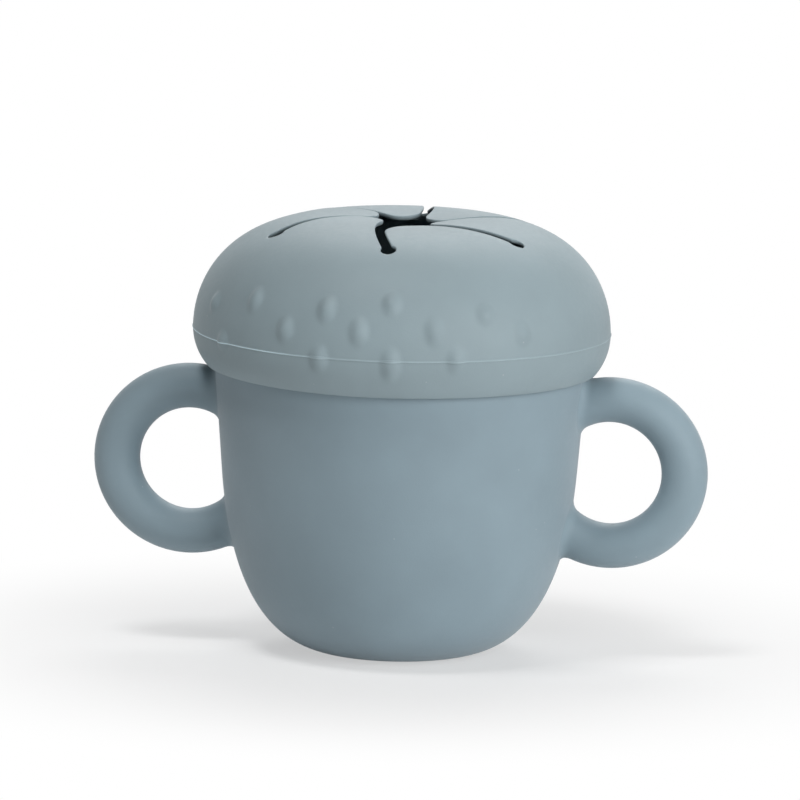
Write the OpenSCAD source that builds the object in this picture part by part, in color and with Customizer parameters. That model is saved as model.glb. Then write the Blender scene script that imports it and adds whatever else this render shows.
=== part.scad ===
// Snack cup for toddlers: a round silicone cup with two ring handles, and a domed lid
// that presses over the cup's rim. Six soft petals in the lid open for a child's hand.
// Millimetres, +Z up, handles along X, origin at the middle of the flat base.

/* [Cup] */
// Height of the rim above the table
cup_h = 76; // [72:1:84]
// Radius of the straight neck that the lid covers
neck_r = 41.9; // [41.2:0.1:42.6]
// Height of the neck that the lid covers
neck_h = 11.5; // [10.5:0.5:12.5]
// How much narrower the cup is where its wall turns into the round bowl
taper = 1.85; // [1:0.05:3]
// Height where the straight wall turns into the round bowl
knee_z = 41; // [38:1:44]
// Radius of the flat base
base_r = 14; // [11:0.5:18]
// Pull of the bowl's curve down along the wall
bowl_pull = 28.5; // [25:0.5:30]
// Pull of the bowl's curve out along the table
base_pull = 14; // [11:0.5:16]
// Thickness of the cup's wall
cup_wall = 2.6; // [2.2:0.1:3]
// Thickness of the cup's floor
cup_floor = 3.2; // [2.6:0.2:4]
// How far the holding bead stands out of the neck
bead_out = 0.7; // [0.5:0.1:0.8]
// Height of the bead's middle below the rim
bead_drop = 5; // [4:0.5:6]

/* [Handles] */
// Radius of the handle ring, to the middle of its tube
ring_r = 16.8; // [15.5:0.1:18]
// Radius of the handle's tube
tube_r = 5.2; // [4.4:0.1:5.8]
// How far the middle of the handle ring lies below the cup's rim
ring_drop = 33.8; // [32:0.2:36]
// How far the ring's middle stands out from the cup's wall
ring_out = 7.65; // [6.5:0.05:9]

/* [Lid] */
// How far the lid stands out past the cup's neck at its widest, on the parting line
lid_out = 5.1; // [4.6:0.1:6.5]
// Height of the dome above the parting line
dome_h = 26.4; // [24:0.2:29]
// How far the parting line lies below the cup's rim
seam_drop = 3.2; // [2.4:0.2:4]
// Thickness of the dome's side
dome_wall = 2.2; // [1.8:0.1:2.6]
// Thickness of the dome's soft top, from which the petals are cut
petal_t = 1.2; // [1:0.1:1.6]
// How full the dome's side is, 2 is a circle and more is squarer
dome_fullness = 3.55; // [3:0.05:4.2]
// How full the inside of the dome is: the higher, the thinner the shoulder over the slits' ends
inside_fullness = 3.95; // [3.6:0.05:4.1]
// How far the middle of the dome sinks
dip_h = 2.6; // [1.5:0.1:3.2]
// Radius at which the sinking starts
dip_r = 27; // [22:1:29]
// Radius of the curve that turns in below the parting line
turn_r = 13.5; // [12.5:0.5:16]
// How far the lid's lower edge lies below the parting line
lip_drop = 8.6; // [7.6:0.2:9]
// Height of the thin flash line left by the mould
flash = 0.2; // [0.1:0.05:0.3]

/* [Lid fit] */
// Gap between the lid's lower lip and the bead it passes
lip_gap = 0.3; // [0.2:0.05:0.4]
// Gap between the rim and the seat inside the lid
seat_gap = 0.2; // [0.1:0.05:0.4]
// Thickness of the seat that presses on the rim
seat_t = 2.4; // [2:0.1:3]
// Depth of the plug ring below the seat
plug_h = 7; // [5:0.5:9]
// Thickness of the plug ring
plug_t = 1.8; // [1.4:0.1:2.4]
// Gap between the plug ring and the inside of the rim
plug_gap = 0.7; // [0.6:0.05:0.9]
// How far the sealing ribs stand out of the plug ring
rib_out = 0.4; // [0.2:0.05:0.45]

/* [Petals] */
// How far the slits' ends stay inside the lid's widest line
slit_inset = 15.3; // [14.5:0.1:16.5]
// Width of a slit
slit_w = 2.3; // [1.8:0.1:2.6]
// Radius of the round hole at a slit's end
slit_hole_r = 1.75; // [1.6:0.05:2]
// Radius of a slit's bend
slit_bend_r = 45; // [39:0.5:56]
// Angle by which a slit's inner end lags behind its outer end
slit_swirl = 24.5; // [20:0.5:30]
// Radius of the opening between the petals' tips
tip_opening_r = 7.3; // [6:0.1:8.2]
// Radius of a petal's round tip, which runs smoothly into the slits on both sides
tip_round_r = 4.4; // [4:0.1:5]
// Radius of the rolling root on which a petal flexes
root_r = 2.2; // [2.1:0.05:2.4]
// Gap round a petal's root
root_gap = 0.25; // [0.2:0.05:0.35]

/* [Dots] */
// How far a dot stands out of the dome
dot_out = 1; // [0.7:0.1:1.3]
// Half the width of a dot where it meets the dome
dot_half_w = 2.2; // [1.8:0.1:2.5]

/* [Hidden] */
$fn = 96;
petals = 6;
first_slit = 30;
bowl_steps = 20;
dome_steps = 26;
rim_round = 0.9;
root_lap = 0.4;
seam_z = cup_h - seam_drop;
ring_z = cup_h - ring_drop;
knee_r = neck_r - taper;
lid_r = neck_r + lid_out;
slit_end_r = lid_r - slit_inset;
neck_z = cup_h - neck_h;
bead_r = neck_r + bead_out;
mouth_r = neck_r - cup_wall;
seat_z = cup_h + seat_gap;
lip_r = bead_r + lip_gap;
lip_z = seam_z - lip_drop;
plug_r = mouth_r - plug_gap;
plug_z = seat_z - plug_h;
ring_x = lookup(ring_z, [for (p = cup_side(0)) [p.y, p.x]]) + ring_out;
// distance from the lid's axis to the line on which a petal flexes
root_x = slit_end_r * cos(180 / petals);
root_half = slit_end_r * sin(180 / petals);
root_z = (dome_z(root_x, 0) + dome_z(slit_end_r, dome_wall)) / 2;
above = 20;
// each dot: angle round the lid, height over the parting line as a share of the dome's,
// and half its length over half its width
dot_sectors = 2;
dots = [
    [-149, 0.31, 1.1], [-130, 0.41, 1.4], [-105, 0.40, 1.4], [-86, 0.47, 1.3], [-59, 0.38, 1.2],
    [-117, 0.21, 1.4], [-95, 0.24, 1.5], [-74, 0.26, 1.6], [-48, 0.21, 1.3],
    [-141, 0.02, 1.1], [-106, -0.01, 1.5], [-86, -0.03, 1.8], [-68, 0.01, 1.4]
];

function cubic(a, b, c, d, t) =
    pow(1 - t, 3) * a + 3 * pow(1 - t, 2) * t * b + 3 * (1 - t) * t * t * c + pow(t, 3) * d;

// Side of the cup as [radius, height] from the base up to the neck, moved inwards by a wall
function cup_side(wall, bottom = 0) =
    let (
        knee = [knee_r - wall, knee_z],
        top = [neck_r - wall, neck_z],
        down = (knee - top) / norm(knee - top)
    )
    concat(
        [for (i = [0 : bowl_steps]) cubic([base_r, bottom], [base_r + base_pull - wall / 2, bottom],
            knee + down * (bowl_pull - bottom * 0.6), knee, i / bowl_steps)],
        [top]
    );

// Height of the dome at a radius, for its outside (wall 0) or its inside
function dome_z(r, wall) =
    seam_z + (dome_h - (wall > 0 ? petal_t : 0))
            * sqrt(1 - pow(r / (lid_r - wall), wall > 0 ? inside_fullness : dome_fullness))
        - dip_h * pow(max(0, 1 - r / dip_r), 2);

// Radius of the lid's outside at a height above or below the parting line
function lid_side_r(up) =
    up > 0 ? lid_r * pow(1 - pow(up / dome_h, 2), 1 / dome_fullness)
        : lid_r - turn_r + sqrt(turn_r * turn_r - up * up);

// Outline of the dome from its widest place to the axis, stepped finely where it bends most
function dome_curve(wall) =
    [for (i = [0 : dome_steps])
        let (r = (lid_r - wall) * pow(sin(90 * (1 - i / dome_steps)), 2 / dome_fullness))
        [r, dome_z(r, wall)]];

module cup_solid() {
    rotate_extrude()
        polygon(concat([[0, 0]], cup_side(0), [[neck_r, cup_h], [0, cup_h]]));
}

module cup_profile() {
    difference() {
        union() {
            polygon(concat([[0, 0]], cup_side(0), [[neck_r, cup_h - rim_round],
                [neck_r - rim_round, cup_h], [mouth_r + rim_round, cup_h], [0, cup_h]]));
            translate([neck_r - rim_round, cup_h - rim_round])
                circle(r = rim_round);
            // holding bead: the part of a circle that stands out of the neck
            intersection() {
                translate([neck_r - bead_out, cup_h - bead_drop])
                    circle(r = 2 * bead_out);
                translate([mouth_r + bead_out, cup_h - bead_drop - 2 * bead_out])
                    square([cup_wall, 4 * bead_out]);
            }
        }
        polygon(concat([[0, cup_floor]], cup_side(cup_wall, cup_floor),
            [[mouth_r, cup_h - rim_round], [mouth_r + rim_round, cup_h + 1], [0, cup_h + 1]]));
    }
}

module cup_body() {
    color([0.55, 0.62, 0.66])
        rotate_extrude()
            cup_profile();
}

// Handle on the +X side: a round ring whose inner side is taken up by the cup
module handle() {
    difference() {
        translate([ring_x, 0, ring_z])
            rotate([90, 0, 0])
                rotate_extrude()
                    translate([ring_r, 0])
                        circle(r = tube_r);
        cup_solid();
    }
}

module right_handle() {
    color([0.57, 0.64, 0.68])
        handle();
}

module left_handle() {
    color([0.57, 0.64, 0.68])
        mirror([1, 0, 0])
            handle();
}

// Solid under the outside of the lid, down to the lip
module lid_profile(flash_h) {
    lip_turn = asin(lip_drop / turn_r);
    turn_steps = 8;
    polygon(concat(
        [[0, lip_z]],
        [for (i = [0 : turn_steps - 1])
            let (a = -lip_turn * (1 - i / turn_steps))
            [lid_r - turn_r + turn_r * cos(a), seam_z + turn_r * sin(a)]],
        [[lid_r, seam_z - flash_h], [lid_r + flash_h, seam_z], [lid_r, seam_z + flash_h]],
        [for (p = dome_curve(0)) if (p.y > seam_z + 2 * flash_h) p]
    ));
}

// Room inside the lid: above the seat it follows the dome, below it holds the cup's rim
module lid_room_profile() {
    room_r = lid_side_r(seat_z + seat_t - seam_z) - dome_wall;
    polygon(concat([[0, seat_z + seat_t], [room_r, seat_z + seat_t]],
        [for (p = dome_curve(dome_wall)) if (p.y > seat_z + seat_t + 1) p]));
    translate([0, lip_z - 1])
        square([lip_r, seat_z - lip_z + 1]);
    translate([0, seat_z - 1])
        square([plug_r - plug_t, seat_t + 2]);
}

// Middle of the circle that a slit follows, for the slit whose end hole is turned by so much
function slit_middle(turn) =
    let (
        outer_end = slit_end_r * [cos(turn), sin(turn)],
        inner_end = tip_opening_r * [cos(turn - slit_swirl), sin(turn - slit_swirl)],
        along = (outer_end - inner_end) / norm(outer_end - inner_end),
        half = norm(outer_end - inner_end) / 2
    )
    (outer_end + inner_end) / 2 + [-along.y, along.x] * sqrt(pow(slit_bend_r, 2) - half * half);

// Point at a distance p from a and q from b, on the same side of them as the lid's axis
function both_reach(a, p, b, q) =
    let (
        gap = norm(b - a),
        along = (b - a) / gap,
        step = (gap * gap + p * p - q * q) / (2 * gap)
    )
    a + step * along + [-along.y, along.x] * sqrt(p * p - step * step);

// Plan of one petal, which points along +X from its round tip to its root
module petal_plan() {
    low_middle = slit_middle(-180 / petals);
    low_r = slit_bend_r - slit_w / 2;
    high_middle = slit_middle(180 / petals);
    high_r = slit_bend_r + slit_w / 2;
    tip = both_reach(low_middle, low_r - tip_round_r, high_middle, high_r + tip_round_r);
    low_touch = low_middle + (tip - low_middle) * low_r / (low_r - tip_round_r);
    high_touch = high_middle + (tip - high_middle) * high_r / (high_r + tip_round_r);
    aside = slit_end_r * (low_touch - high_touch) / norm(low_touch - high_touch);
    beyond = [-aside.y, aside.x];
    difference() {
        intersection() {
            translate(low_middle)
                circle(r = low_r, $fn = 180);
            translate([0, -slit_end_r])
                square([root_x, 2 * slit_end_r]);
            union() {
                translate(tip)
                    circle(r = tip_round_r);
                polygon([low_touch + aside, low_touch + aside + beyond,
                    high_touch - aside + beyond, high_touch - aside]);
            }
        }
        translate(high_middle)
            circle(r = high_r, $fn = 180);
    }
}

// Outer half of the round root on which a petal rolls, which laps a little into the petal's blade
module root_roll(r, half) {
    intersection() {
        translate([root_x, 0, root_z])
            rotate([90, 0, 0])
                cylinder(r = r, h = 2 * half, center = true);
        translate([root_x - root_lap, -slit_end_r, root_z - above / 2])
            cube([above, 2 * slit_end_r, above]);
    }
}

module slit_holes() {
    for (i = [0 : petals - 1])
        rotate(first_slit + i * 360 / petals)
            translate([slit_end_r, 0, root_z - above / 2])
                cylinder(r = slit_hole_r, h = above);
}

module lid_dome() {
    color([0.62, 0.68, 0.71])
        difference() {
            rotate_extrude()
                difference() {
                    lid_profile(flash);
                    lid_room_profile();
                }
            rotate(first_slit)
                translate([0, 0, root_z - above / 2])
                    linear_extrude(above)
                        circle(r = slit_end_r, $fn = petals);
            for (i = [0 : petals - 1])
                rotate(i * 360 / petals)
                    root_roll(root_r + root_gap, root_half);
            slit_holes();
        }
}

module plug_ring() {
    color([0.6, 0.66, 0.7])
        rotate_extrude() {
            translate([plug_r - plug_t, plug_z])
                square([plug_t, seat_z - plug_z]);
            for (k = [1, 2])
                translate([plug_r, plug_z + k * plug_h / 3])
                    circle(r = rib_out);
        }
}

module petal(number) {
    color([0.62, 0.68, 0.71])
        rotate(number * 360 / petals)
            intersection() {
                rotate_extrude()
                    difference() {
                        polygon(concat([[0, seat_z]], [for (p = dome_curve(0)) if (p.y > seat_z) p]));
                        polygon(concat([[0, seat_z - 1]], [for (p = dome_curve(dome_wall)) if (p.y > seat_z) p]));
                    }
                union() {
                    translate([0, 0, root_z - above / 2])
                        linear_extrude(above)
                            petal_plan();
                    root_roll(root_r, root_half - slit_hole_r);
                }
            }
}

// Pointed oval bump: a circle's arc spun about its chord, laid along the dome's slope
module dot(up, half_l) {
    r = lid_side_r(up);
    step = dome_h / 130;
    slope = atan2(lid_side_r(up - step) - lid_side_r(up + step), 2 * step);
    sunk = dot_half_w * dot_half_w / (2 * dot_out) - dot_out / 2;
    thick = sunk + dot_out;
    reach = half_l * 1.25;
    arc_r = (reach * reach + thick * thick) / (2 * thick);
    translate([r, 0, seam_z + up])
        rotate([0, -slope, 0])
            translate([-sunk, 0, 0])
                rotate_extrude($fn = 72)
                    intersection() {
                        translate([thick - arc_r, 0])
                            circle(r = arc_r);
                        translate([0, -reach])
                            square([thick, 2 * reach]);
                    }
}

module lid_dots() {
    color([0.66, 0.72, 0.75])
        difference() {
            for (k = [0 : dot_sectors - 1], d = dots)
                rotate(k * 360 / dot_sectors + d[0])
                    dot(d[1] * dome_h, d[2] * dot_half_w);
            rotate_extrude($fn = 360)
                lid_profile(flash);
        }
}

cup_body();
left_handle();
right_handle();
lid_dome();
plug_ring();
lid_dots();
petal(0);  // petal_1
petal(1);  // petal_2
petal(2);  // petal_3
petal(3);  // petal_4
petal(4);  // petal_5
petal(5);  // petal_6
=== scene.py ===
import bpy
import numpy as np
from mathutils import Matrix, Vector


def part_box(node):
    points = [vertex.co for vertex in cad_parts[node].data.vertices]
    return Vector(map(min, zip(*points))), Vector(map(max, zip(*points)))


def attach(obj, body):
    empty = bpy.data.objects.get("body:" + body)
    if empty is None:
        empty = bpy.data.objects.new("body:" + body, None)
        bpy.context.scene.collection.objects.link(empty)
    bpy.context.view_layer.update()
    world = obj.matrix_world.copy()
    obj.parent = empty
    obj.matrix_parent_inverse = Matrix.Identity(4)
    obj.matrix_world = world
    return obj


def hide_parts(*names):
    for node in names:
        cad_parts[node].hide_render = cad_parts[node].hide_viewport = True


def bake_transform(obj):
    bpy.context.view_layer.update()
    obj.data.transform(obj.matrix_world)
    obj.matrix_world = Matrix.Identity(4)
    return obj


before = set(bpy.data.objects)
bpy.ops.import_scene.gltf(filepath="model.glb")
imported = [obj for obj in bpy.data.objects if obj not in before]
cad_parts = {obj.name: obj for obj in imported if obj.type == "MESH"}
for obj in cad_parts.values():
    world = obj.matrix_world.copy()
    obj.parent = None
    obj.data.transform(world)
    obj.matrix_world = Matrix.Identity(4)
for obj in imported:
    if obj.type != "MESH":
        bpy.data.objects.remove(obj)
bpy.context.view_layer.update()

# The cup
# A round cup of soft silicone, moulded in one shot: a straight, slightly tapered wall, a round bowl on a
# small flat base, and an upright neck that the lid covers. Shapes are worked out in millimetres.
MM = 0.001
cup_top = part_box("cup_body")[1].z / MM
bead_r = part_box("cup_body")[1].x / MM
bead_out = 0.7
bead_drop = 5.0
neck_r = bead_r - bead_out
neck_h = 11.5
neck_z = cup_top - neck_h
cup_wall = 2.6
mouth_r = neck_r - cup_wall
rim_round = 0.95
rim_start = 1.1
# the straight wall ends in the knee, where the bowl begins: the bowl's curve is pulled out along the base
# and down along the wall, and inside it is pulled down less, by a share of the floor's height
taper = 1.85
knee_z = 41.0
knee = np.array([neck_r - taper, knee_z])
base_r = 14.0
base_pull = 14.0
bowl_pull = 28.5
floor_z = 3.2
floor_ease = 0.6
# how finely the cup is drawn: sides round it, points along its curves, and their spacing in millimetres;
# the flat base and floor start at a small hub, and the neck's own points stop just short of the rim
CUP_SIDES = 320
BOWL_STEPS = 60
OUTER_SPACING = 0.8
INNER_SPACING = 1.2
NECK_STEPS = 28
NECK_STOP = 1.2
RIM_STEPS = 9
BASE_STEPS = 14
FLOOR_STEPS = 10
HUB_R = 0.5
SHARP_DEGREES = 50


def cubic(p0, p1, p2, p3, steps):
    """Points along a cubic curve: the four points weighted by (1-t)^3, 3(1-t)^2 t, 3(1-t) t^2 and t^3."""
    t = np.linspace(0, 1, steps)[:, None]
    return (1 - t) ** 3 * p0 + 3 * (1 - t) ** 2 * t * p1 + 3 * (1 - t) * t ** 2 * p2 + t ** 3 * p3


def rounded(corners, radii, steps):
    """A line through corners, each one replaced by the arc of its radius that touches both of its sides. A
    spoke of the arc is its first one times sin((1-t) sweep) plus its last one times sin(t sweep), divided
    by sin(sweep)."""
    corners = np.array(corners, float)
    points = [corners[:1]]
    for before, at, after, radius in zip(corners, corners[1:], corners[2:], radii):
        back, on = before - at, after - at
        back, on = back / np.linalg.norm(back), on / np.linalg.norm(on)
        half = np.arccos(np.clip(back @ on, -1, 1)) / 2
        centre = at + (back + on) / np.linalg.norm(back + on) * radius / np.sin(half)
        first = at + back * radius / np.tan(half) - centre
        last = at + on * radius / np.tan(half) - centre
        sweep = np.pi - 2 * half
        t = np.linspace(0, 1, steps)[:, None]
        spoke = (first * np.sin((1 - t) * sweep) + last * np.sin(t * sweep)) / np.sin(sweep)
        points.append(centre + spoke)
    return np.vstack(points + [corners[-1:]])


def length_along(line):
    """How far along a line each of its points lies: the sum of the steps before it."""
    return np.concatenate([[0], np.cumsum(np.linalg.norm(np.diff(line, axis=0), axis=1))])


def evenly(line, spacing):
    """The same line with points at an even spacing along its length."""
    along = length_along(line)
    at = np.linspace(0, along[-1], max(2, int(round(along[-1] / spacing)) + 1))
    return np.stack([np.interp(at, along, line[:, i]) for i in (0, 1)], 1)


def spin(profile, sides):
    """Rings round the Z axis: each profile point (r, z) becomes (r cos a, r sin a, z) for every angle a."""
    a = np.arange(sides) * 2 * np.pi / sides
    r, z = profile[:, :1], profile[:, 1:]
    return np.stack([r * np.cos(a), r * np.sin(a), z + 0 * a], -1)


def skin(name, rings, looped=False):
    """A closed mesh over rings of points: neighbours in a ring and in the next ring make the faces. The
    last ring joins the first when looped, and otherwise each end is closed by a fan round its own middle.
    The faces are turned round where the volume in them, the sum of a . (b x c) over their triangles, is
    below zero."""
    rows, cols = rings.shape[:2]
    points = rings.reshape(-1, 3)
    number = np.arange(rows * cols).reshape(rows, cols)
    here, there = (number, np.roll(number, -1, 0)) if looped else (number[:-1], number[1:])
    quads = np.stack([here, np.roll(here, -1, 1), np.roll(there, -1, 1), there], -1).reshape(-1, 4)
    tris = np.zeros((0, 3), int)
    if not looped:
        first, last = rows * cols, rows * cols + 1
        points = np.vstack([points, rings[0].mean(0), rings[-1].mean(0)])
        low, high = number[0], number[-1]
        tris = np.vstack([
            np.stack([np.roll(low, -1), low, np.full(cols, first)], 1),
            np.stack([high, np.roll(high, -1), np.full(cols, last)], 1)])
    a, b, c, d = (points[quads[:, i]] for i in range(4))
    volume = (a * np.cross(b, c)).sum() + (a * np.cross(c, d)).sum()
    volume += (points[tris[:, 0]] * np.cross(points[tris[:, 1]], points[tris[:, 2]])).sum()
    if volume < 0:
        quads, tris = quads[:, ::-1], tris[:, ::-1]
    mesh = bpy.data.meshes.new(name)
    mesh.from_pydata(points * MM, [], quads.tolist() + tris.tolist())
    mesh.shade_smooth()
    mesh.set_sharp_from_angle(angle=np.radians(SHARP_DEGREES))
    piece = bpy.data.objects.new(name, mesh)
    bpy.context.scene.collection.objects.link(piece)
    return piece


down_wall = knee - [neck_r, neck_z]
down_wall /= np.linalg.norm(down_wall)


def cup_side(wall, bottom):
    """The cup's side from its base to its neck as (r, z), moved in by a wall: a cubic bowl that leaves the
    base level and arrives along the straight wall, and that wall."""
    start = np.array([base_r, bottom])
    level = np.array([base_r + base_pull - wall / 2, bottom])
    bend = knee - [wall, 0]
    bowl = cubic(start, level, bend + down_wall * (bowl_pull - bottom * floor_ease), bend, BOWL_STEPS)
    return np.vstack([bowl, np.array([neck_r - wall, neck_z])])


outside = evenly(cup_side(0, 0), OUTER_SPACING)
inside = evenly(cup_side(cup_wall, floor_z), INNER_SPACING)
# the holding bead is the part of a circle, with a radius of twice its height, that stands proud of the neck
bead_z = cup_top - bead_drop
neck_up = np.linspace(neck_z, cup_top - NECK_STOP, NECK_STEPS)[1:]
bead_swell = np.sqrt(np.maximum(0, (2 * bead_out) ** 2 - (neck_up - bead_z) ** 2)) - bead_out
neck = np.stack([neck_r + np.maximum(0, bead_swell), neck_up], 1)
rim_corners = [[neck_r, cup_top - rim_start], [neck_r, cup_top], [mouth_r, cup_top], [mouth_r, neck_z]]
rim = rounded(rim_corners, [rim_round, rim_round], RIM_STEPS)
base = np.stack([np.linspace(HUB_R, base_r, BASE_STEPS)[:-1], np.zeros(BASE_STEPS - 1)], 1)
inner_floor = np.stack([np.linspace(base_r, HUB_R, FLOOR_STEPS)[1:], np.full(FLOOR_STEPS - 1, floor_z)], 1)
cup_section = np.vstack([base, outside, neck, rim, inside[::-1][1:], inner_floor])
cup = skin("cup", spin(cup_section, CUP_SIDES))


def silicone(name, tint, sheen, line=None):
    """Matte silicone: a dusty tint that drifts softly, a fine dry grain, a faint moulding ripple, a few
    specks of dust and, where it is asked for, a pale line round the thin flash at the mould's parting line.
    The line is partly the flash's own paler colour and partly a painted highlight, strongest on the left,
    where the flash catches the light. It is given as its height, its radius, how far it rises on the left,
    and the power by which it rises. All of it is placed by Object coordinates."""
    material = bpy.data.materials.new(name)
    material.use_nodes = True
    nodes, links = material.node_tree.nodes, material.node_tree.links
    surface = nodes["Principled BSDF"]
    surface.inputs["Specular IOR Level"].default_value = 0.3
    surface.inputs["Sheen Weight"].default_value = sheen
    surface.inputs["Sheen Roughness"].default_value = 0.5
    place = nodes.new("ShaderNodeTexCoord").outputs["Object"]

    def noise(scale, detail):
        made = nodes.new("ShaderNodeTexNoise")
        made.inputs["Scale"].default_value = scale
        made.inputs["Detail"].default_value = detail
        links.new(place, made.inputs["Vector"])
        return made.outputs["Fac"]

    def ramp(value, start, end, low, high):
        """Low where the value is at the start, high where it is at the end, and in proportion between."""
        made = nodes.new("ShaderNodeMapRange")
        made.inputs["From Min"].default_value = start
        made.inputs["From Max"].default_value = end
        made.inputs["To Min"].default_value = low
        made.inputs["To Max"].default_value = high
        links.new(value, made.inputs["Value"])
        return made.outputs["Result"]

    def spread(value, low, high):
        """A noise lies nearly all between 0.3 and 0.7, and that stretch is spread from low to high."""
        return ramp(value, 0.3, 0.7, low, high)

    def mix(factor, one, other):
        made = nodes.new("ShaderNodeMix")
        made.data_type = "RGBA"
        links.new(factor, made.inputs["Factor"])
        for socket, colour in ((made.inputs["A"], one), (made.inputs["B"], other)):
            if isinstance(colour, tuple):
                socket.default_value = (*colour, 1)
            else:
                links.new(colour, socket)
        return made.outputs["Result"]

    def bump(height, strength, before=None):
        made = nodes.new("ShaderNodeBump")
        made.inputs["Strength"].default_value = strength
        made.inputs["Distance"].default_value = 0.0002
        links.new(height, made.inputs["Height"])
        if before is not None:
            links.new(before, made.inputs["Normal"])
        return made.outputs["Normal"]

    def work(operation, value, *by):
        made = nodes.new("ShaderNodeMath")
        made.operation = operation
        for socket, one in zip(made.inputs, (value, *by)):
            if isinstance(one, bpy.types.NodeSocket):
                links.new(one, socket)
            else:
                socket.default_value = one
        return made.outputs["Value"]

    # how far the tint drifts either way, how far dust pales it, and how many times as light the line is, by
    # the flash's own paleness and its painted highlight together
    drift = 0.04
    dusty = 0.5
    flash_and_highlight_paler = 2.3
    dark = tuple(c * (1 - drift) for c in tint)
    light = tuple(c * (1 + drift) for c in tint)
    body = mix(spread(noise(scale=60, detail=3), low=0, high=1), dark, light)
    cells = nodes.new("ShaderNodeTexVoronoi")
    cells.inputs["Scale"].default_value = 160
    links.new(place, cells.inputs["Vector"])
    dust = ramp(cells.outputs["Distance"], start=0.035, end=0.02, low=0, high=0.25)
    body = mix(dust, body, tuple(c + (1 - c) * dusty for c in tint))
    if line is not None:
        # the line is a painted highlight, brightest on the left where the flash catches the light, over the
        # flash's own paler colour, and is drawn only where the outer skin is less than 1 mm away
        line_half_h = 0.13 * MM
        line_z, line_r, line_lift = (length * MM for length in line[:3])
        line_power = line[3]
        split = nodes.new("ShaderNodeSeparateXYZ")
        links.new(place, split.inputs["Vector"])
        x, y, z = split.outputs
        left = work("MAXIMUM", work("MULTIPLY", x, -1 / line_r), 0)
        rise = work("MULTIPLY", work("POWER", left, line_power), line_lift)
        on_line = work("COMPARE", work("SUBTRACT", z, rise), line_z, line_half_h)
        reach = work("SQRT", work("ADD", work("MULTIPLY", x, x), work("MULTIPLY", y, y)))
        on_skin = work("GREATER_THAN", reach, line_r - MM)
        # painted highlight: strong on the left, where the flash catches the light, down to the flash's own
        # paleness
        flash_and_painted_highlight = ramp(x, start=-0.026, end=-0.013, low=0.85, high=0.15)
        faint = work("MULTIPLY", work("MULTIPLY", on_line, on_skin), flash_and_painted_highlight)
        body = mix(faint, body, tuple(c * flash_and_highlight_paler for c in tint))
    links.new(body, surface.inputs["Base Color"])
    links.new(spread(noise(scale=900, detail=2), low=0.5, high=0.6), surface.inputs["Roughness"])
    ripple = bump(noise(scale=120, detail=2), strength=0.25)
    links.new(bump(noise(scale=2600, detail=3), strength=0.12, before=ripple), surface.inputs["Normal"])
    return material


cup_tint = (0.255, 0.339, 0.387)
cup_sheen = 0.22
cup_silicone = silicone("cup_silicone", cup_tint, cup_sheen)
cup.data.materials.append(cup_silicone)
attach(cup, "cup")
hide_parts("cup_body")

# The handles
# Two round rings, moulded in one with the cup. Each is a tube bent round a circle, and grows out of the
# wall with a small fillet, as the steel of the mould is rounded there.
handle_low, handle_high = (np.array(corner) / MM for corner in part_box("right_handle"))
tube_r = handle_high[1]
ring_reach = (handle_high[2] - handle_low[2]) / 2
ring_r = ring_reach - tube_r
ring_z = (handle_high[2] + handle_low[2]) / 2
ring_x = handle_high[0] - ring_reach
# the rings are a little flatter than round, and the left one sits a little closer and lower, in millimetres
flatter = 0.31
left_in = 0.25
left_down = 0.27
# a fillet runs this far along the tube and this share of it along the wall, and its foot ends this far
# under the wall's skin
fillet = 2.4
foot_share = 0.8
sunk_root = 0.012
# the wall is looked for between two turns round the ring, in radians from its outermost point: at the first
# one the tube is surely outside the cup, and at the last one surely inside it
FREE_TURN = 1.6
SUNK_TURN = 3.1
HALVINGS = 40
TUBE_SIDES = 72
ARC_STEPS = 150
FILLET_STEPS = 9


def wall_r(z):
    """Outer radius of the cup at a height."""
    return np.interp(z, outside[:, 1], outside[:, 0])


def tube_point(turn, side, middle):
    """A point on the tube of the ring round a middle (x, z). Reach is the ring's radius plus the tube's
    times cos(side). The point lies reach cos(turn) out, tube radius sin(side) to the side, and reach
    sin(turn) up, less a little on the outer side. Turn counts from the ring's outermost point."""
    reach = ring_r + tube_r * np.cos(side)
    up = (reach - flatter * (1 + np.cos(side)) / 2) * np.sin(turn)
    across = tube_r * np.sin(side) + 0 * turn
    return np.stack([middle[0] + reach * np.cos(turn), across, middle[1] + up], -1)


def wall_turn(side, up, middle):
    """How far round the ring each line of the tube runs before it meets the cup's wall, by halving."""
    near, far = np.full(side.shape, FREE_TURN), np.full(side.shape, SUNK_TURN)
    for _ in range(HALVINGS):
        half = (near + far) / 2
        p = tube_point(up * half, side, middle)
        free = np.hypot(p[:, 0], p[:, 1]) > wall_r(p[:, 2])
        near, far = np.where(free, half, near), np.where(free, far, half)
    return up * near


def root(side, up, middle):
    """Where the lines of the tube meet the wall, and the rings of the fillet there: for each line a
    quadratic curve, (1-t)^2 start + 2(1-t) t meeting point + t^2 foot, which leaves along the tube and ends
    along the wall, just below its skin."""
    turn = wall_turn(side, up, middle)
    meet = tube_point(turn, side, middle)
    start = tube_point(turn - up * fillet / ring_r, side, middle)
    out = np.stack([meet[:, 0], meet[:, 1], 0 * turn], 1)
    out /= np.linalg.norm(out, axis=1)[:, None]
    outward = meet - meet.mean(0)
    outward -= (outward * out).sum(1)[:, None] * out
    outward /= np.linalg.norm(outward, axis=1)[:, None]
    foot = meet + outward * fillet * foot_share
    scale = (wall_r(foot[:, 2]) - sunk_root) / np.hypot(foot[:, 0], foot[:, 1])
    foot[:, :2] *= scale[:, None]
    t = np.linspace(0, 1, FILLET_STEPS)[:, None, None]
    return turn, (1 - t) ** 2 * start + 2 * (1 - t) * t * meet + t ** 2 * foot


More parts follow.
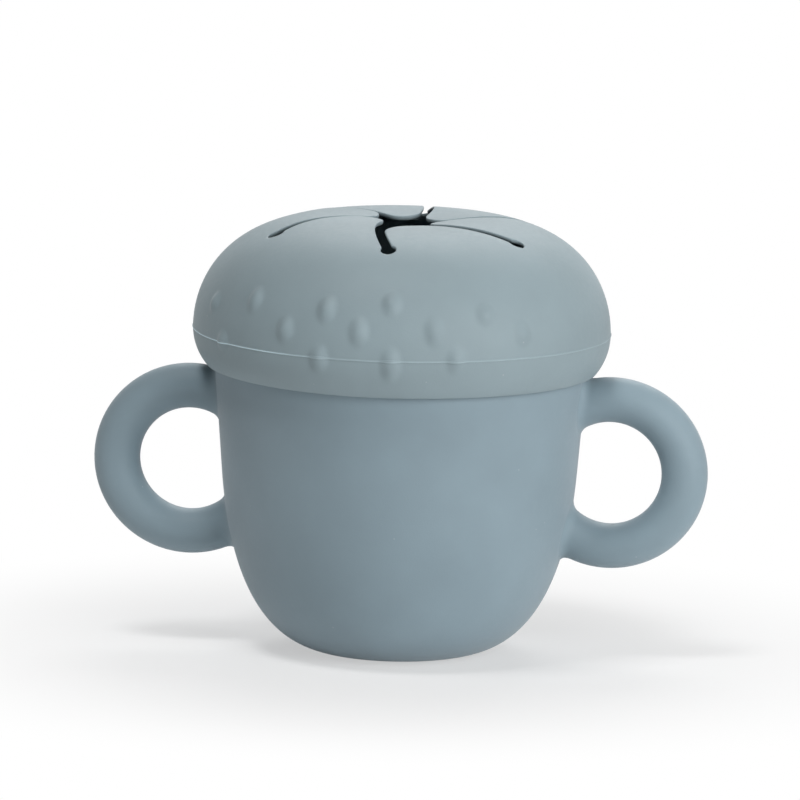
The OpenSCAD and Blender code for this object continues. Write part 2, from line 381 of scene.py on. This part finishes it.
def handle_rings(middle):
    """All the rings of a handle on the +X side: the lower fillet, the tube, and the upper fillet."""
    side = np.arange(TUBE_SIDES) * 2 * np.pi / TUBE_SIDES
    low_turn, low_root = root(side, -1, middle)
    high_turn, high_root = root(side, 1, middle)
    along = np.linspace(0, 1, ARC_STEPS)[1:-1, None]
    turn = (low_turn + fillet / ring_r) * (1 - along) + (high_turn - fillet / ring_r) * along
    return np.vstack([low_root[::-1], tube_point(turn, side[None, :], middle), high_root])


for handle, flip, middle in (("right_handle", 1, (ring_x, ring_z)),
                             ("left_handle", -1, (ring_x - left_in, ring_z - left_down))):
    ring = skin(handle + "_ring", handle_rings(middle) * [flip, 1, 1])
    ring.data.materials.append(cup_silicone)
    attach(ring, "cup")
    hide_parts(handle)

# The lid
# A second silicone moulding: a full dome whose lip tucks in over the cup's bead, a seat and a plug ring
# inside, raised oval dots on the lower half of the dome, and a flash line where the mould parts.
lip_gap = 0.3
lip_r = bead_r + lip_gap
lip_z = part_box("lid_dome")[0].z / MM
lip_round = 0.35
# the parting line is the widest place, with the dome above it and the tuck, a part of a circle, below it
seam_h = 8.6
seam_z = lip_z + seam_h
lid_out = 5.1
lid_r = neck_r + lid_out
dome_h = 26.4
dome_wall = 2.2
fullness = 3.55
inside_fullness = 3.95
dip_h = 2.6
dip_r = 27.0
tuck_r = 13.5
flash_out = 0.16
flash_half_h = 0.17
# the seat lies just over the rim, and the plug with its two ribs hangs from it just inside the mouth
seat_gap = 0.2
seat_z = cup_top + seat_gap
seat_t = 2.4
seat_top = seat_z + seat_t
seat_round = 0.4
plug_gap = 0.7
plug_r = mouth_r - plug_gap
plug_t = 1.8
plug_h = 7.0
plug_z = seat_z - plug_h
plug_round = 0.6
rib_out = 0.4
room_round = 0.8
# the slits end in round holes, and the petals' own skins start a little outside these
petal_t = 1.2
slit_in = 15.3
slit_end_r = lid_r - slit_in
slit_hole_r = 1.75
petal_edge_out = 0.7
petal_edge_r = slit_end_r + slit_hole_r + petal_edge_out
# how finely the lid is drawn: sides round it, points along its curves, and their spacing in millimetres; a
# band this far above and below the parting line has points of its own
LID_SIDES = 560
DOME_STEPS = 400
DOME_SPACING = 0.5
TUCK_STEPS = 200
TUCK_SPACING = 0.55
SEAM_BAND = 0.84
SEAM_STEPS = 15
ROOM_STEPS = 26
ROOM_START = 1.2
RIB_STEPS = 6
ROUND_STEPS = 5
PLUG_STRAIGHT = 1.5


def dome_skin(inner):
    """Reach, height and fullness of the dome's outer skin, or of its inner one: that one lies a wall
    further in at the side, only the petals' thickness lower at the crown, and is fuller, so that the
    shoulder is thin."""
    return (lid_r - dome_wall, dome_h - petal_t, inside_fullness) if inner else (lid_r, dome_h, fullness)


def dome_z(r, inner=False):
    """Height of the dome at a radius: over the parting line the height of a squared-off ellipse, high times
    the root of 1 - (r / reach)^fullness, less a dip that grows towards the middle by the square."""
    reach, high, full = dome_skin(inner)
    dip = dip_h * np.maximum(0, 1 - r / dip_r) ** 2
    return seam_z + high * np.sqrt(np.maximum(0, 1 - (r / reach) ** full)) - dip


def dome_r(up, inner=False):
    """Radius of the dome at a height above the parting line: the same ellipse the other way round."""
    reach, high, full = dome_skin(inner)
    return reach * (1 - (up / high) ** 2) ** (1 / full)


def dome_line(inner, steps):
    """The dome from the petals' edge down to the parting line, as (r, z)."""
    up = (dome_z(petal_edge_r, inner) - seam_z) * np.cos(np.linspace(0, np.pi / 2, steps))
    return np.stack([dome_r(up, inner), seam_z + up], 1)


upper = evenly(dome_line(False, DOME_STEPS), DOME_SPACING)
tuck_turn = np.linspace(0, np.arcsin((seam_z - lip_z) / tuck_r), TUCK_STEPS)
tuck = np.stack([lid_r - tuck_r + tuck_r * np.cos(tuck_turn), seam_z - tuck_r * np.sin(tuck_turn)], 1)
lower = evenly(tuck, TUCK_SPACING)
# the flash is a thin ridge: it stands out by flash_out exp(-(height / flash_half_h)^2)
seam_up = np.linspace(SEAM_BAND, -SEAM_BAND, SEAM_STEPS)
seam_r = np.where(seam_up > 0, dome_r(np.maximum(seam_up, 0)),
                  lid_r - tuck_r + np.sqrt(tuck_r ** 2 - seam_up ** 2))
seam_band = np.stack([seam_r + flash_out * np.exp(-(seam_up / flash_half_h) ** 2), seam_z + seam_up], 1)
lid_outside = np.vstack([upper[upper[:, 1] > seam_z + SEAM_BAND], seam_band,
                         lower[lower[:, 1] < seam_z - SEAM_BAND][:-1]])
lip = rounded([lid_outside[-1], lower[-1], [lip_r, lip_z], [lip_r, seat_z], [plug_r, seat_z],
               [plug_r, seat_z - PLUG_STRAIGHT]],
              [lip_round, lip_round, seat_round, seat_round], ROUND_STEPS)
# the ribs stand at two thirds and one third of the plug's height
rib_turn = np.linspace(np.pi / 2, -np.pi / 2, RIB_STEPS)
ribs = np.vstack([np.stack([plug_r + rib_out * np.cos(rib_turn), rib_z + rib_out * np.sin(rib_turn)], 1)
                  for rib_z in (plug_z + plug_h * 2 / 3, plug_z + plug_h / 3)])
# the room is the hollow between the seat and the dome
room_r = dome_r(seat_top - seam_z) - dome_wall
room = dome_line(True, ROOM_STEPS)
room = room[room[:, 1] > seat_top + ROOM_START][::-1]
plug = rounded([[plug_r, plug_z + PLUG_STRAIGHT], [plug_r, plug_z], [plug_r - plug_t, plug_z],
                [plug_r - plug_t, seat_top], [room_r, seat_top], room[0]],
               [plug_round, plug_round, plug_round, room_round], ROUND_STEPS)
lid_section = np.vstack([lid_outside[:-1], lip, ribs, plug, room[1:]])

# each dot: angle round the lid in degrees, height over the parting line as a share of the dome's, and
# half its length over half its width; the same group stands on the front and on the back
DOT_GROUPS = 2
DOTS = np.array([
    [-149, 0.31, 1.1], [-130, 0.41, 1.4], [-105, 0.40, 1.4], [-86, 0.47, 1.3], [-59, 0.38, 1.2],
    [-117, 0.21, 1.4], [-95, 0.24, 1.5], [-74, 0.26, 1.6], [-48, 0.21, 1.3],
    [-141, 0.01, 1.1], [-106, -0.01, 1.5], [-86, -0.03, 1.8], [-68, 0.01, 1.4]])
dot_half_w = 2.7
dot_out = 0.8


def wrapped(angle):
    """The same angle, brought between minus half a turn and half a turn."""
    return (angle + np.pi) % (2 * np.pi) - np.pi


def raise_dots(rings, section):
    """Moves the outer skin out along its slope's normal: each dot adds height (1 - q^2)^2, where q is the
    distance from its middle, counted in half widths across and half lengths along the slope."""
    slope = np.gradient(section, axis=0)
    slope /= np.linalg.norm(slope, axis=1)[:, None]
    down = length_along(section)
    outer = np.arange(len(section)) < len(lid_outside)
    angle = np.arange(rings.shape[1]) * 2 * np.pi / rings.shape[1]
    height = np.zeros(rings.shape[:2])
    for group in range(DOT_GROUPS):
        for at, share, longer in DOTS:
            middle = np.interp(-share * dome_h, seam_z - section[outer, 1], down[outer])
            apart = wrapped(angle - np.radians(at + 360 / DOT_GROUPS * group))
            across = apart[None, :] * section[:, :1] / dot_half_w
            along = (down[:, None] - middle) / (dot_half_w * longer)
            near = np.maximum(0, 1 - across ** 2 - along ** 2) ** 2
            height = np.maximum(height, near * outer[:, None])
    out = np.stack([-slope[:, 1:] * np.cos(angle), -slope[:, 1:] * np.sin(angle),
                    slope[:, :1] + 0 * angle], -1)
    return rings + dot_out * height[..., None] * out


# how far the lid's left side is raised at the lip, and over what height that dies out, in millimetres
lift = 0.9
lift_h = 34.0
lift_power = 1.5


def lift_share(z):
    """How much of the lift is left at a height: all of it at the lip, less by the square above, and none
    lift_h higher."""
    return np.clip(1 - (z - lip_z) / lift_h, 0, 1) ** 2


def lift_left(rings):
    """Raises the left side of the lid a little, because the soft lid sits slightly askew: the lift, times
    the power 1.5 of how far a point lies to the left, times what is left of the lift at its height."""
    left = np.maximum(0, -rings[..., 0] / np.hypot(rings[..., 0], rings[..., 1])) ** lift_power
    return rings + (lift * left * lift_share(rings[..., 2]))[..., None] * [0, 0, 1]


lid_tint = (0.275, 0.35, 0.38)
lid_sheen = 0.08
# the flash line is drawn paler: partly its own colour, partly a painted highlight on its left side
flash_line = (seam_z, lid_r, lift * lift_share(seam_z), lift_power)
lid = skin("lid", lift_left(raise_dots(spin(lid_section, LID_SIDES), lid_section)), looped=True)
lid_silicone = silicone("lid_silicone", lid_tint, lid_sheen, flash_line)
lid.data.materials.append(lid_silicone)
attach(lid, "lid")
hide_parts("lid_dome", "plug_ring", "lid_dots")

# The petals
# Six soft petals, cut free by slits that bend like a pinwheel from a round end hole to the opening in the
# middle. They go on from the dome without a seam.
PETALS = 6
slit_w = 2.3
slit_bend_r = 45.0
slit_swirl = np.radians(24.5)
tip_opening_r = 7.3
tip_round_r = 4.4
root_x = slit_end_r * np.cos(np.pi / PETALS)
edge_round = 0.24
low_edge_round = 0.75
# how far each petal hangs at the middle of the lid, how far the edge beside its low slit turns down towards
# the tip, and how much further than the others its tip reaches, in millimetres; no two lie quite alike
sags = [0.0, 0.0, 0.0, -0.9, -1.1, 0.3]
curls = [0, 1.0, 0, 0, 0, 3.2]
reaches = [-0.2, 0.8, 0, 0.3, 1.4, 0]
# the hang grows by this power towards the middle, and the curled edge follows a circle that is squared off by
# this power, up to this share of its radius
sag_power = 1.5
curl_square = 2.3
curl_most = 0.97
# how far each slit stands off its even place, in degrees, and how much shorter it is cut, in millimetres,
# from the slit between the petals 6 and 1 on
slit_offs = [0, 0, 0, 0, 0, 0.9]
slit_shorts = [0.25, 0, 0, 0, 0.75, 0]
# how finely the petals are drawn: points along the four parts of a side, and across; the two sides stop
# just short of the nose, where they are still a little apart, and a soft edge takes at most a share of the
# width on each side
RAY_STEPS = 4
HOLE_FINE = 2000
HOLE_STEPS = 14
EDGE_STEPS = 54
TIP_STEPS = 32
TIP_STOP = 0.985
LEAST_WIDTH = 0.05
SOFT_SHARE = 0.45
ACROSS_STEPS = 40
SOFT_STEPS = 6


def unit(angle):
    """Direction at an angle in the plane."""
    return np.stack([np.cos(angle), np.sin(angle)], -1)


def angle_of(way):
    """Angle of a direction in the plane."""
    return np.arctan2(way[..., 1], way[..., 0])


def square_to(way):
    """A direction in the plane, turned a quarter to the left."""
    return np.array([-way[1], way[0]])


def slit_middle(slit):
    """Centre of the circle that a slit follows, from its end hole, given as angle and radius, to the
    opening: it lies square to the middle of the line between the two, at the distance that gives the
    circle's radius."""
    turn, end_r = slit
    outer, inner = end_r * unit(turn), tip_opening_r * unit(turn - slit_swirl)
    half = np.linalg.norm(outer - inner) / 2
    along = (outer - inner) / (2 * half)
    return (outer + inner) / 2 + square_to(along) * np.sqrt(slit_bend_r ** 2 - half ** 2)


def round_tip(low, high):
    """Centre of a petal's round tip, which touches the low slit from inside its circle and the high one
    from outside: the point where two circles about the slits' own centres cross."""
    reach, other = slit_bend_r - slit_w / 2 - tip_round_r, slit_bend_r + slit_w / 2 + tip_round_r
    gap = np.linalg.norm(high - low)
    along = (high - low) / gap
    step = (gap ** 2 + reach ** 2 - other ** 2) / (2 * gap)
    return low + step * along + square_to(along) * np.sqrt(reach ** 2 - step ** 2)


def petal_side(slit, sign, tip):
    """One long side of a petal, as points in plan from root to tip: straight in, round the slit's end hole,
    along the slit's edge and round half of the tip. sign is -1 for the low side and 1 for the high one."""
    turn, end_r = slit
    ray = np.linspace(petal_edge_r, end_r + slit_hole_r, RAY_STEPS)[:-1, None] * unit(turn)
    centre, bend_r = slit_middle(slit), slit_bend_r + sign * slit_w / 2
    round_hole = end_r * unit(turn) + slit_hole_r * unit(turn - sign * np.linspace(0, np.pi, HOLE_FINE))
    beyond = sign * (np.linalg.norm(round_hole - centre, axis=1) - bend_r)
    hole_arc = round_hole[np.linspace(0, np.flatnonzero(beyond >= 0)[-1], HOLE_STEPS).astype(int)]
    touch = centre + (tip - centre) * bend_r / (bend_r + sign * tip_round_r)
    first, last = angle_of(hole_arc[-1] - centre), angle_of(touch - centre)
    edge = centre + bend_r * unit(np.linspace(first, last, EDGE_STEPS))[1:]
    start = angle_of(touch - tip)
    swing = wrapped(angle_of(-tip) - start)
    around = tip + tip_round_r * unit(start + swing * np.linspace(0, TIP_STOP, TIP_STEPS)[1:])
    return np.vstack([ray, hole_arc, edge, around])


def edge_distance(p, low, high, tip):
    """How far points of a petal lie in from its edge: from the slits' end holes, from the slits and,
    between the two points where it touches them, from the round tip."""
    def from_middle(middle):
        return np.linalg.norm(p - middle, axis=-1)

    def off_nose(way):
        return wrapped(angle_of(way) - angle_of(-tip))

    away = np.inf
    for slit, sign in ((low, -1), (high, 1)):
        turn, end_r = slit
        away = np.minimum(away, from_middle(end_r * unit(turn)) - slit_hole_r)
        from_slit = sign * (from_middle(slit_middle(slit)) - slit_bend_r) - slit_w / 2
        away = np.where(from_middle([0, 0]) < end_r, np.minimum(away, from_slit), away)
    touches = sorted([off_nose(tip - slit_middle(low)), off_nose(slit_middle(high) - tip)])
    at_tip = (off_nose(p - tip) > touches[0]) & (off_nose(p - tip) < touches[1])
    return np.maximum(0, np.where(at_tip, np.minimum(away, tip_round_r - from_middle(tip)), away))


def petal_rings(low, high, sag, curl, reach):
    """Rings across one petal that points along +X, from its root to its tip. Each ring runs over the top
    from one side to the other, down the edge, back below and up the other edge. Near the edge the skins
    turn down and up by a quarter circle. The petal hangs by its sag times the power 1.5 of how far it
    reaches inwards. By the square of that it gets longer, and its low side turns down along a quarter of a
    squared-off circle."""
    tip = round_tip(slit_middle(low), slit_middle(high))
    left, right = petal_side(low, -1, tip), petal_side(high, 1, tip)
    width = np.maximum(LEAST_WIDTH, np.linalg.norm(left - right, axis=1))[:, None]
    soft = np.minimum(edge_round, width * SOFT_SHARE) / width
    over = (1 - np.cos(np.linspace(0, np.pi, ACROSS_STEPS))) / 2
    near = 1 - np.sin(np.linspace(0, np.pi / 2, SOFT_STEPS))[1:]
    across = np.hstack([soft * near[::-1], soft + (1 - 2 * soft) * over, 1 - soft * near])
    across = np.hstack([across, across[:, ::-1]])
    below = np.arange(across.shape[1]) >= across.shape[1] // 2

    def between(one, other):
        return one[:, None] + (other - one)[:, None] * across

    r = between(np.hypot(*left.T), np.hypot(*right.T))
    p = r[..., None] * unit(between(angle_of(left), angle_of(right)))
    rounding = np.where(below, low_edge_round, edge_round)
    turned = np.clip(rounding - edge_distance(p, low, high, tip), 0, rounding)
    drop = rounding - np.sqrt(rounding ** 2 - turned ** 2)
    inward = np.clip(1 - p[..., 0] / root_x, 0, 1)
    off_low = slit_bend_r - slit_w / 2 - np.linalg.norm(p - slit_middle(low), axis=-1)
    by_low = np.clip(1 - off_low / tip_round_r, 0, curl_most)
    curled = 1 - (1 - by_low ** curl_square) ** (1 / curl_square)
    hang = sag * inward ** sag_power + curl * inward ** 2 * curled
    z = np.where(below, dome_z(r, True) + drop, dome_z(r) - drop) - hang
    return np.dstack([p[..., 0] - reach * inward ** 2, p[..., 1], z])


for number, (sag, curl, reach) in enumerate(zip(sags, curls, reaches)):
    low, high = ((side * np.pi / PETALS + np.radians(slit_offs[slit]), slit_end_r - slit_shorts[slit])
                 for side, slit in ((-1, number), (1, (number + 1) % PETALS)))
    outward = np.append(unit(number * 2 * np.pi / PETALS), 0)
    to_place = np.array([outward, np.append(square_to(outward), 0), [0, 0, 1]])
    name = f"petal_{number + 1}"
    petal = skin(name + "_skin", petal_rings(low, high, sag, curl, reach) @ to_place)
    petal.data.materials.append(lid_silicone)
    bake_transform(petal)
    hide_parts(name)

# The stage
# A round, pale photo table. The camera sees the cup's soft shadow on it close by, and further out it glows
# white, so that it shows no edge.
FLOOR_R = 12.0
FLOOR_SIDES = 96
PAPER_TONE = 0.85
TABLE_GLOW = 0.11
floor_mesh = bpy.data.meshes.new("floor")
around = np.arange(FLOOR_SIDES) * 2 * np.pi / FLOOR_SIDES
floor_ring = np.stack([FLOOR_R * np.cos(around), FLOOR_R * np.sin(around), 0 * around], 1)
floor_mesh.from_pydata(floor_ring, [], [list(range(FLOOR_SIDES))])
floor = bpy.data.objects.new("floor", floor_mesh)
bpy.context.scene.collection.objects.link(floor)
paper = bpy.data.materials.new("paper")
paper.use_nodes = True
nodes, links = paper.node_tree.nodes, paper.node_tree.links
paper_face = nodes["Principled BSDF"]
paper_face.inputs["Base Color"].default_value = (PAPER_TONE, PAPER_TONE, PAPER_TONE, 1)
paper_face.inputs["Roughness"].default_value = 0.9
paper_face.inputs["Specular IOR Level"].default_value = 0.1
glow = nodes.new("ShaderNodeEmission")
spot = nodes.new("ShaderNodeTexCoord")
far = nodes.new("ShaderNodeVectorMath")
far.operation = "LENGTH"
links.new(spot.outputs["Object"], far.inputs[0])
fade = nodes.new("ShaderNodeMapRange")
fade.interpolation_type = "SMOOTHSTEP"
fade.inputs["From Min"].default_value = 0.035
fade.inputs["From Max"].default_value = 0.14
fade.inputs["To Min"].default_value = 0.5
links.new(far.outputs["Value"], fade.inputs["Value"])
seen = nodes.new("ShaderNodeLightPath")
share = nodes.new("ShaderNodeMix")
share.inputs["A"].default_value = TABLE_GLOW
links.new(seen.outputs["Is Camera Ray"], share.inputs["Factor"])
links.new(fade.outputs["Result"], share.inputs["B"])
both = nodes.new("ShaderNodeMixShader")
links.new(share.outputs["Result"], both.inputs["Fac"])
links.new(paper_face.outputs[0], both.inputs[1])
links.new(glow.outputs[0], both.inputs[2])
links.new(both.outputs[0], nodes["Material Output"].inputs["Surface"])
floor_mesh.materials.append(paper)

# The surround
# White where the camera, a reflection or a clear piece looks at it, and nearly dark as a light, so that the
# lamps alone model the shapes.
AMBIENT = 0.01
world = bpy.data.worlds.new("surround")
bpy.context.scene.world = world
world.use_nodes = True
nodes, links = world.node_tree.nodes, world.node_tree.links
seen = nodes.new("ShaderNodeLightPath")
bright = nodes.new("ShaderNodeMapRange")
bright.inputs["To Min"].default_value = AMBIENT
bright.inputs["To Max"].default_value = 1.0
either = seen.outputs["Is Camera Ray"]
for other in ("Is Glossy Ray", "Is Transmission Ray"):
    larger = nodes.new("ShaderNodeMath")
    larger.operation = "MAXIMUM"
    links.new(either, larger.inputs[0])
    links.new(seen.outputs[other], larger.inputs[1])
    either = larger.outputs["Value"]
links.new(either, bright.inputs["Value"])
links.new(bright.outputs["Result"], nodes["Background"].inputs["Strength"])
nodes["Background"].inputs["Color"].default_value = (1, 1, 1, 1)

# The light
# Lamps round a photo table: a large soft key in front on the right, a low one at the side, a small one high
# up that draws the shadow under the lid, and a large one high behind. All of them aim at the cup's middle.
AIM = np.array([0, 0, 0.05])
# each lamp: its name, its place and its width in metres, and its power in watts
LAMPS = [
    ("key", (1.0, -1.1, 0.6), 0.9, 13.3),
    ("side", (1.3, -0.4, 0.15), 0.9, 5.6),
    ("high", (-0.25, -0.45, 1.4), 0.35, 8.2),
    ("back", (0.0, 1.1, 1.1), 0.9, 9.5),
]
for name, stand, width, power in LAMPS:
    lamp = bpy.data.lights.new(name, "AREA")
    lamp.size = width
    lamp.energy = power
    holder = bpy.data.objects.new(name, lamp)
    bpy.context.scene.collection.objects.link(holder)
    holder.location = stand
    aim = AIM - stand
    holder.rotation_euler = (np.arctan2(np.hypot(aim[0], aim[1]), -aim[2]), 0, np.arctan2(-aim[0], aim[1]))

# The camera
# A long lens, a little above the cup and a little to the right, rolled by one degree. Its two shifts, in
# pixels, put the cup in its place in the picture.
LENS_PIXELS = 9490
PICTURE = 800
SHIFT_RIGHT = 0.1
SHIFT_UP = 39.2
FARTHEST = 50
look_at = np.array([0, 0, 0.048])
distance = 2.139
elevation = np.radians(9.26)
azimuth = np.radians(6.98)
roll = np.radians(1.04)
camera = bpy.data.cameras.new("camera")
camera.lens = camera.sensor_width * LENS_PIXELS / PICTURE
camera.shift_x = SHIFT_RIGHT / PICTURE
camera.shift_y = SHIFT_UP / PICTURE
camera.clip_end = FARTHEST
viewer = bpy.data.objects.new("camera", camera)
bpy.context.scene.collection.objects.link(viewer)
level_part = np.cos(elevation)
back = np.array([np.sin(azimuth) * level_part, -np.cos(azimuth) * level_part, np.sin(elevation)])
viewer.location = look_at + back * distance
viewer.rotation_mode = "XYZ"
viewer.rotation_euler = (np.pi / 2 - elevation, 0, azimuth)
viewer.rotation_euler.rotate_axis("Z", roll)
bpy.context.scene.camera = viewer
bpy.context.scene.view_settings.view_transform = "Standard"
